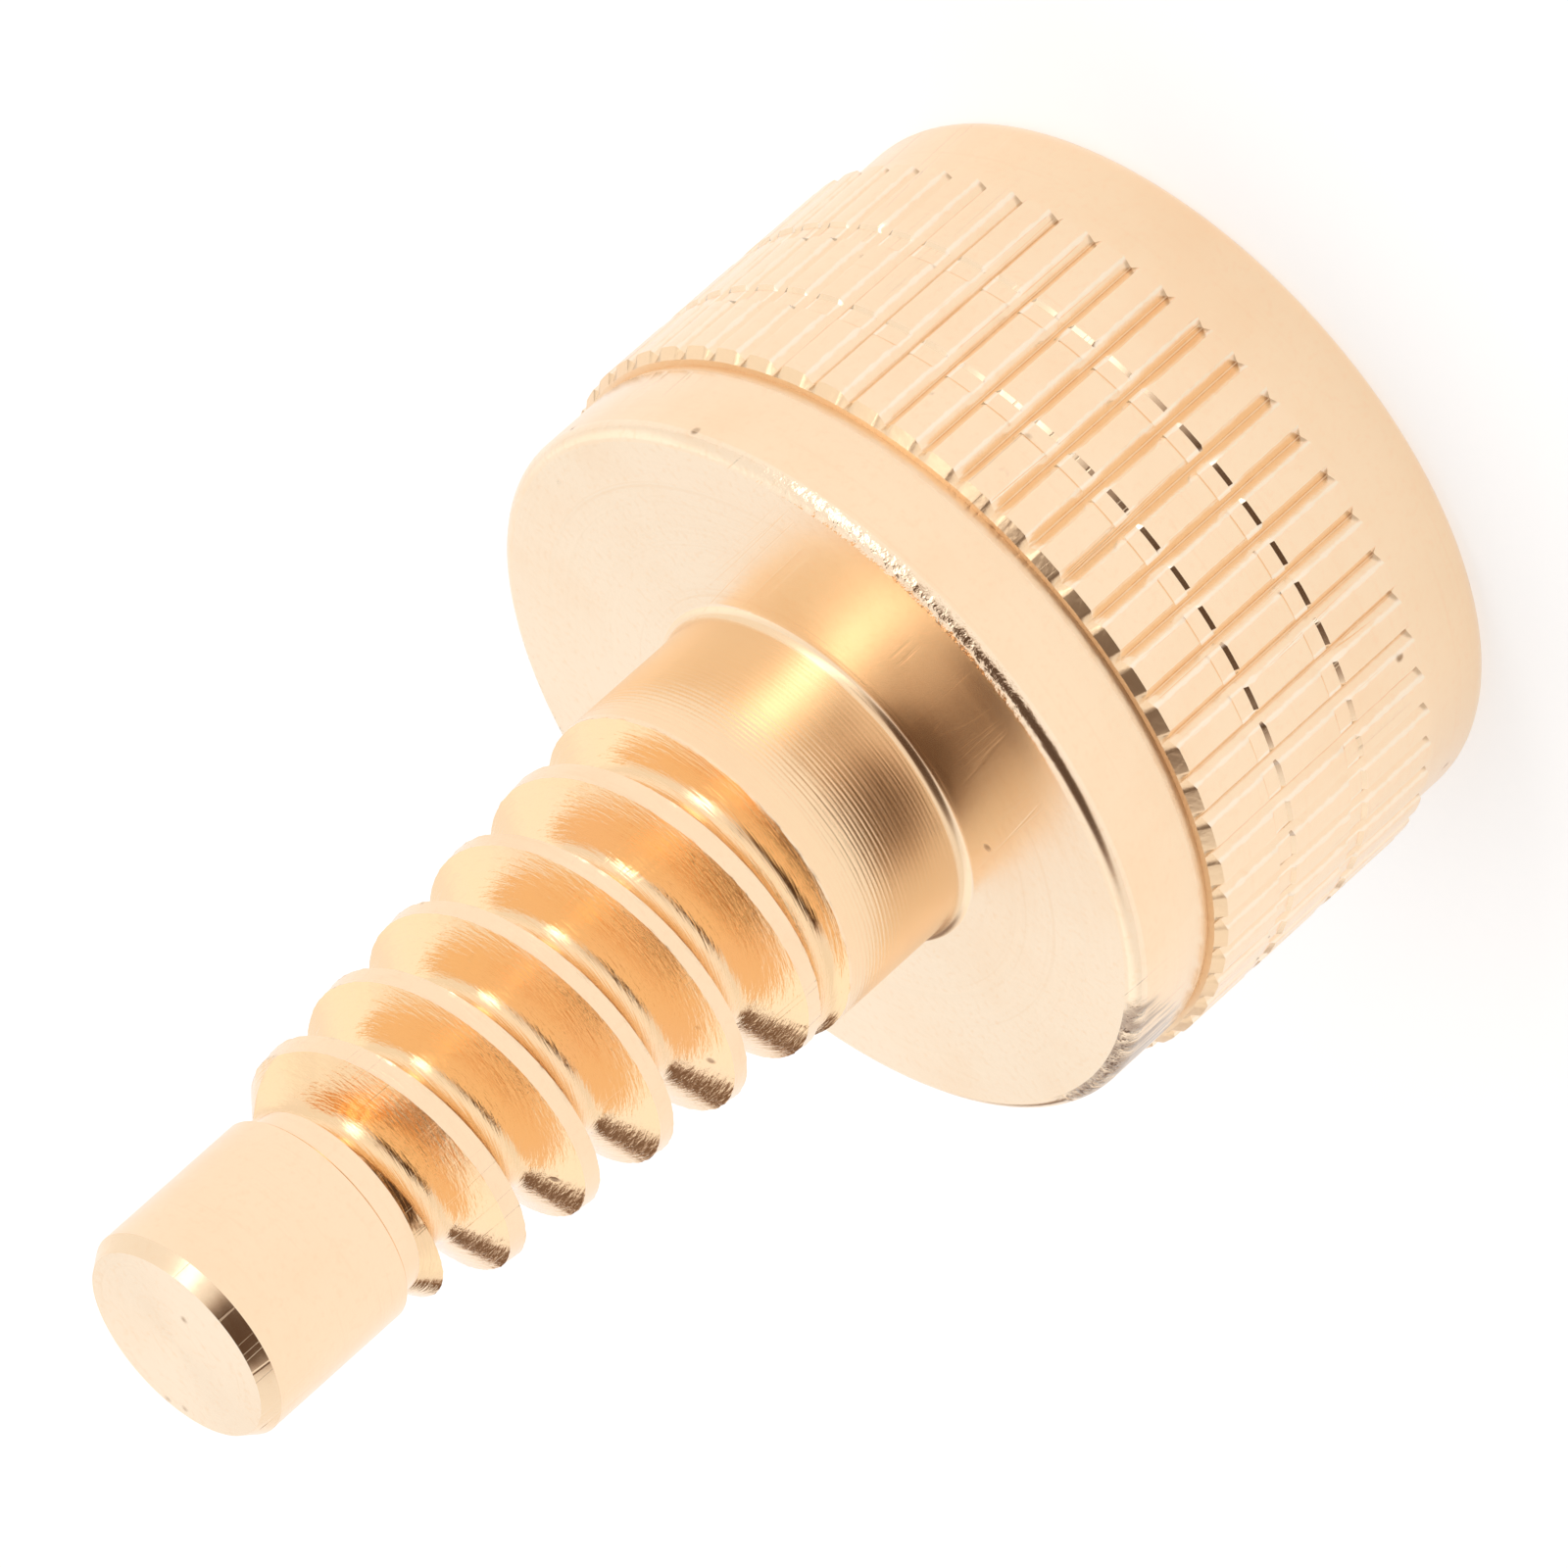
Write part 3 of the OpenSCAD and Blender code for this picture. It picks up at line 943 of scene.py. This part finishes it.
def makeBrass(name, groups):
    look = finishes[name]
    # pale is painted light: each finish is a paler or deeper copy of the same brass, by how light
    # falls on its faces
    pale = look["pale"]
    material = bpy.data.materials.new(name)
    material.use_nodes = True
    tree = material.node_tree
    shader = tree.nodes["Principled BSDF"]
    coordinates = tree.nodes.new("ShaderNodeTexCoord")
    place = NodeValue(tree, coordinates.outputs["Object"])
    lathe = useGroup(tree, groups["polar"], Place=place)
    across = lathe["Rings"] if name == "threadBrass" else lathe["Lines"]
    cuts = useGroup(tree, groups["turning"], Lines=across, Fineness=look["fineness"],
                    Length=look["length"], Feed=look["feed"])
    worn = useGroup(tree, groups["marks"], Place=place, Scratches=look["scratches"], Pits=look["pits"])
    clouding = max(patina["cloudDepth"] - patina["cloudFade"] * pale, 0.0)
    aged = useGroup(tree, groups["patina"], Place=place, Clouding=clouding)
    plain = tuple(a + (b - a) * pale for a, b in zip(brassColour, paleBrass))
    tone = mixColour(tree, aged["Cloud"], plain, deepBrass)
    tone = mixColour(tree, aged["Specks"], tone, deepBrass)
    deepShare = strengths["deep"] - strengths["deepFade"] * pale
    tone = mixColour(tree, cuts["Deep"] * deepShare, tone, deepBrass)
    tone = mixColour(tree, worn["Pit"] * strengths["pit"], tone, darkPitAndShade)
    # painted shade on the flange's far side, standing in for a dark reflection there
    if name in ("rimBrass", "turnedBrass"):
        local = useGroup(tree, groups["wearAndShade"], Place=place)
        tone = mixColour(tree, local["Stain"] * strengths["paintedShade"], tone, paintedShadeColour)
    if name == "knurledBrass":
        lines = useGroup(tree, groups["knurlLines"], Level=lathe["Level"], Angle=lathe["Angle"],
                         Place=place)
        # painted highlight along each V's edges, and painted shade in its root and at its ends
        tone = mixColour(tree, lines["Edge"] * strengths["edge"], tone, paleBrass)
        tone = mixColour(tree, lines["Root"] * strengths["root"], tone, rootShadeBrass)
        tone = mixColour(tree, lines["End"], tone, darkPitAndShade)
    feed(tree, tone, shader.inputs["Base Color"])
    rough = cuts["Height"] * look["lineRoughness"] + look["roughness"]
    feed(tree, rough + worn["Pit"] * strengths["pitRoughness"], shader.inputs["Roughness"])
    shader.inputs["Metallic"].default_value = 1.0
    shader.inputs["Anisotropic"].default_value = look["anisotropy"]
    tangent = tree.nodes.new("ShaderNodeTangent")
    tangent.direction_type = "RADIAL"
    tangent.axis = "Z"
    tree.links.new(tangent.outputs[0], shader.inputs["Tangent"])
    normal = bumpNode(tree, look["lines"], heights["lines"], cuts["Height"])
    normal = bumpNode(tree, look["marks"], heights["marks"], 1 - worn["Scratch"] - worn["Pit"], normal)
    if look["dents"] > 0:
        dented = aged["Dents"]
        if name == "rimBrass":
            dented = dented * local["Bruise"].atLeast(local["Stain"])
        normal = bumpNode(tree, look["dents"], heights["dents"], dented, normal)
    tree.links.new(normal, shader.inputs["Normal"])
    arrange(tree)
    return material


# Where one finish ends and the next begins, in millimetres
borders = {
    "slack": 0.005,
    "flat": 0.01,            # a face whose middle is this near to a flat end lies on it
    "shoulder": 10.35,       # radius where the shoulder face ends
    "crest": 0.03,           # depth below the crest where the thread's finish begins
    "lowEdge": 0.3,          # reach of the flange's lower edge, up and down
    "lowEdgeRadius": 10.4,
    "neck": 0.1,             # height above the shoulder face where the neck's finish begins
}


def finishOf(middle):
    # which finish a face has, from where it is on the screw
    radius, level = math.hypot(middle.x, middle.y) / mm, middle.z / mm
    flange, shoulder = screw["flangeRadius"], screw["headHeight"]
    edge, slack = screw["flangeEdge"], borders["slack"]
    belowRibsTop = screw["ribsTop"] - level
    if level > screw["top"] - borders["flat"]:
        return "facedBrass"
    if abs(level - shoulder) < borders["flat"] and radius < borders["shoulder"]:
        return "facedBrass"
    if screw["taperBottom"] < level < screw["taperTop"]:
        crest = screw["neckRadius"] - thread["Crest Taper"] * (level - screw["taperBottom"])
        return "threadBrass" if radius < crest - borders["crest"] else "crestBrass"
    if level > shoulder - edge and radius > flange - edge:
        return "rimBrass"
    if abs(belowRibsTop) < borders["lowEdge"] and borders["lowEdgeRadius"] < radius < flange + slack:
        return "lowEdgeBrass"
    if -slack < belowRibsTop < screw["ribBevelHeight"] - slack and radius > flange:
        return "ribEndBrass"
    if shoulder + borders["neck"] < level <= screw["taperBottom"]:
        return "neckBrass"
    if screw["ribsBottom"] < level < screw["ribsTop"] - slack and radius > flange:
        return "knurledBrass"
    return "turnedBrass"


groups = {"polar": polarGroup(), "turning": turningGroup(), "marks": marksGroup(),
          "knurlLines": knurlLinesGroup(), "wearAndShade": wearAndShadeGroup(), "patina": patinaGroup()}
brasses = {name: makeBrass(name, groups) for name in finishes}
print("finishes made")

piece = makeScrew(brasses)
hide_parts("joint_screw")
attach(piece, "root")
print("screw made")


white = (1.0, 1.0, 1.0, 1.0)
studio = {
    "floorHalf": 3.0,        # metres from the middle to each side
    "floorColour": (0.6, 0.6, 0.6, 1.0),
    "floorRoughness": 0.9,
    "floorGlow": 0.57,       # what makes the floor white where it is seen, shadow kept
    "level": 0.99,           # brightness of the plain white surroundings
    # dark things round the screw: direction, degrees from it where darkest and where ended, level
    "darkThings": (((-0.42, -0.47, 0.78), 26.0, 39.0, 0.10),
                   ((0.20, -0.87, 0.46), 2.0, 8.0, 0.32),
                   ((-0.13, -0.88, 0.46), 8.0, 24.0, 0.90),
                   ((-0.40, 0.91, 0.12), 8.0, 15.0, 0.20)),
    "darkTint": (1.0, 0.54, 0.30, 1.0),  # how warm the darkest places are
    "backLevel": 0.06,       # how much brighter it is behind and above
    "backLean": (0.8, 0.6),
    "back": (0.3, 0.9),
    "sideBack": 0.15,        # how much brighter it is on either side of straight behind
    "sideAcross": (0.2, 0.36),
    "sideBehind": (0.35, 0.55),
    "sideAbove": (0.25, 0.45),
    "strip": (0.66, -0.64),  # direction of the tall bright strip
    "stripInner": 6.0,       # degrees from its middle where brightest and where ended
    "stripOuter": 11.0,
    "stripFoot": (-0.1, 0.1),
    "stripTop": (0.8, 0.95),
    "stripLevel": 1.6,
}


def cosineOf(degrees):
    return math.cos(math.radians(degrees))


def makeFloor():
    half = studio["floorHalf"]
    mesh = bpy.data.meshes.new("floor")
    corners = [(-half, -half, 0), (half, -half, 0), (half, half, 0), (-half, half, 0)]
    mesh.from_pydata(corners, [], [(0, 1, 2, 3)])
    floor = bpy.data.objects.new("floor", mesh)
    bpy.context.scene.collection.objects.link(floor)
    pale = bpy.data.materials.new("paleFloor")
    pale.use_nodes = True
    tree = pale.node_tree
    shader = tree.nodes["Principled BSDF"]
    shader.inputs["Base Color"].default_value = studio["floorColour"]
    shader.inputs["Roughness"].default_value = studio["floorRoughness"]
    shader.inputs["Specular IOR Level"].default_value = 0.0
    shader.inputs["Emission Color"].default_value = white
    path = tree.nodes.new("ShaderNodeLightPath")
    toCamera, glossy, passing = [NodeValue(tree, path.outputs[f"Is {kind} Ray"])
                                 for kind in ("Camera", "Glossy", "Transmission")]
    seen = toCamera.atLeast(glossy).atLeast(passing)
    feed(tree, seen * studio["floorGlow"], shader.inputs["Emission Strength"])
    arrange(tree)
    mesh.materials.append(pale)


view = {
    "elevation": 27.176,     # degrees down to the screw
    "roll": 41.73,           # degrees, how far the screw leans in the picture
    "target": (0.345, 0.0, 14.693),  # mm
    "distance": 402.25,
    "lens": 365.68,
    "sensor": 36.0,
    "nearest": 0.01,         # metres, nothing nearer or farther is drawn
    "farthest": 50.0,
}


def makeCamera():
    camera = bpy.data.cameras.new("camera")
    camera.lens = view["lens"]
    camera.sensor_width = view["sensor"]
    camera.clip_start = view["nearest"]
    camera.clip_end = view["farthest"]
    holder = bpy.data.objects.new("camera", camera)
    bpy.context.scene.collection.objects.link(holder)
    elevation, roll = math.radians(view["elevation"]), math.radians(view["roll"])
    side = Vector((1, 0, 0))
    rise = Vector((0, math.sin(elevation), math.cos(elevation)))
    back = Vector((0, -math.cos(elevation), math.sin(elevation)))
    right = -math.sin(roll) * side - math.cos(roll) * rise
    up = math.cos(roll) * side - math.sin(roll) * rise
    turn = Matrix((right, up, back)).transposed().to_4x4()
    place = Vector(view["target"]) * mm + back * view["distance"] * mm
    holder.matrix_world = Matrix.Translation(place) @ turn
    bpy.context.scene.camera = holder


def makeWorld():
    # plain white all round, with a few darker and brighter places that the metal reflects
    world = bpy.data.worlds.new("studio")
    bpy.context.scene.world = world
    world.use_nodes = True
    tree = world.node_tree
    background = tree.nodes["Background"]
    coordinates = tree.nodes.new("ShaderNodeTexCoord")
    x, y, z = partsOf(tree, coordinates.outputs["Generated"])
    behind, above = studio["backLean"]
    level = studio["level"] + studio["backLevel"] * ramp(tree, y * behind + z * above, *studio["back"])
    beside = ramp(tree, x.make("ABSOLUTE"), *studio["sideAcross"])
    beside = beside * ramp(tree, y, *studio["sideBehind"]) * ramp(tree, z, *studio["sideAbove"])
    level = level + studio["sideBack"] * beside
    for direction, inner, outer, dark in studio["darkThings"]:
        middle = Vector(direction).normalized()
        toward = x * middle.x + y * middle.y + z * middle.z
        shade = ramp(tree, toward, cosineOf(outer), cosineOf(inner))
        level = (1 - shade * (1 - dark)) * level
    flat = Vector(studio["strip"]).normalized()
    toStrip = (x * flat.x + y * flat.y) / (x * x + y * y).make("SQRT").atLeast(0.001)
    strip = ramp(tree, toStrip, cosineOf(studio["stripOuter"]), cosineOf(studio["stripInner"]))
    strip = strip * ramp(tree, z, *studio["stripFoot"]) * (1 - ramp(tree, z, *studio["stripTop"]))
    level = level + strip * studio["stripLevel"]
    path = tree.nodes.new("ShaderNodeLightPath")
    toCamera = NodeValue(tree, path.outputs["Is Camera Ray"])
    feed(tree, level * (1 - toCamera) + toCamera, background.inputs["Strength"])
    warm = mixColour(tree, ramp(tree, level, 0.0, 1.0, False), studio["darkTint"], white)
    warm = mixColour(tree, toCamera, warm, white)
    feed(tree, warm, background.inputs["Color"])
    arrange(tree)


bpy.context.scene.view_settings.view_transform = "Standard"
makeFloor()
makeCamera()
makeWorld()
print("stage made")
